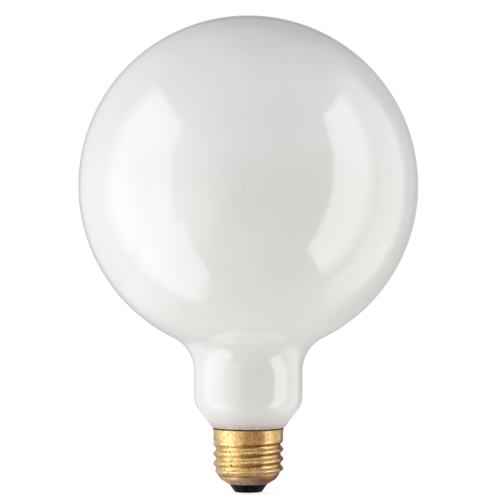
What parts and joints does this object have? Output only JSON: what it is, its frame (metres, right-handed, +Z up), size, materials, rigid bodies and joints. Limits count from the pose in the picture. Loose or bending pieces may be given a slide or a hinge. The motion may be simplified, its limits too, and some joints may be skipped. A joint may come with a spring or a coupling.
{
  "type": "globe bulb",
  "caption": "Large opal-white globe lamp bulb with a short stepped neck, on a brass medium screw cap with a rolled round thread and a black glass insulator.",
  "frame": {"origin": "centre of the end contact, on the lamp's axis, at its lowest point", "axes": "+Z up the lamp's axis from the end contact to the crown of the globe; -Y towards the picture's camera; +Y towards the solder dab on the cap's rim"},
  "size_m": [0.127, 0.127, 0.1784],
  "materials": {
    "opal_glass": "glossy opal white, not see-through",
    "cement": "dry and matte",
    "brass": "bright rolled sheet with light tarnish",
    "black_glass": "glossy black",
    "solder": "dull grey",
    "lead_wire": "copper-clad wire"
  },
  "bodies": {
    "root": {"glass_bulb": "opal_glass", "basing_cement": "cement", "screw_shell": "brass", "insulator": "black_glass", "centre_contact": "brass", "centre_solder": "solder", "centre_lead": "lead_wire", "side_lead": "lead_wire", "side_solder": "solder"}
  },
  "joints": []
}
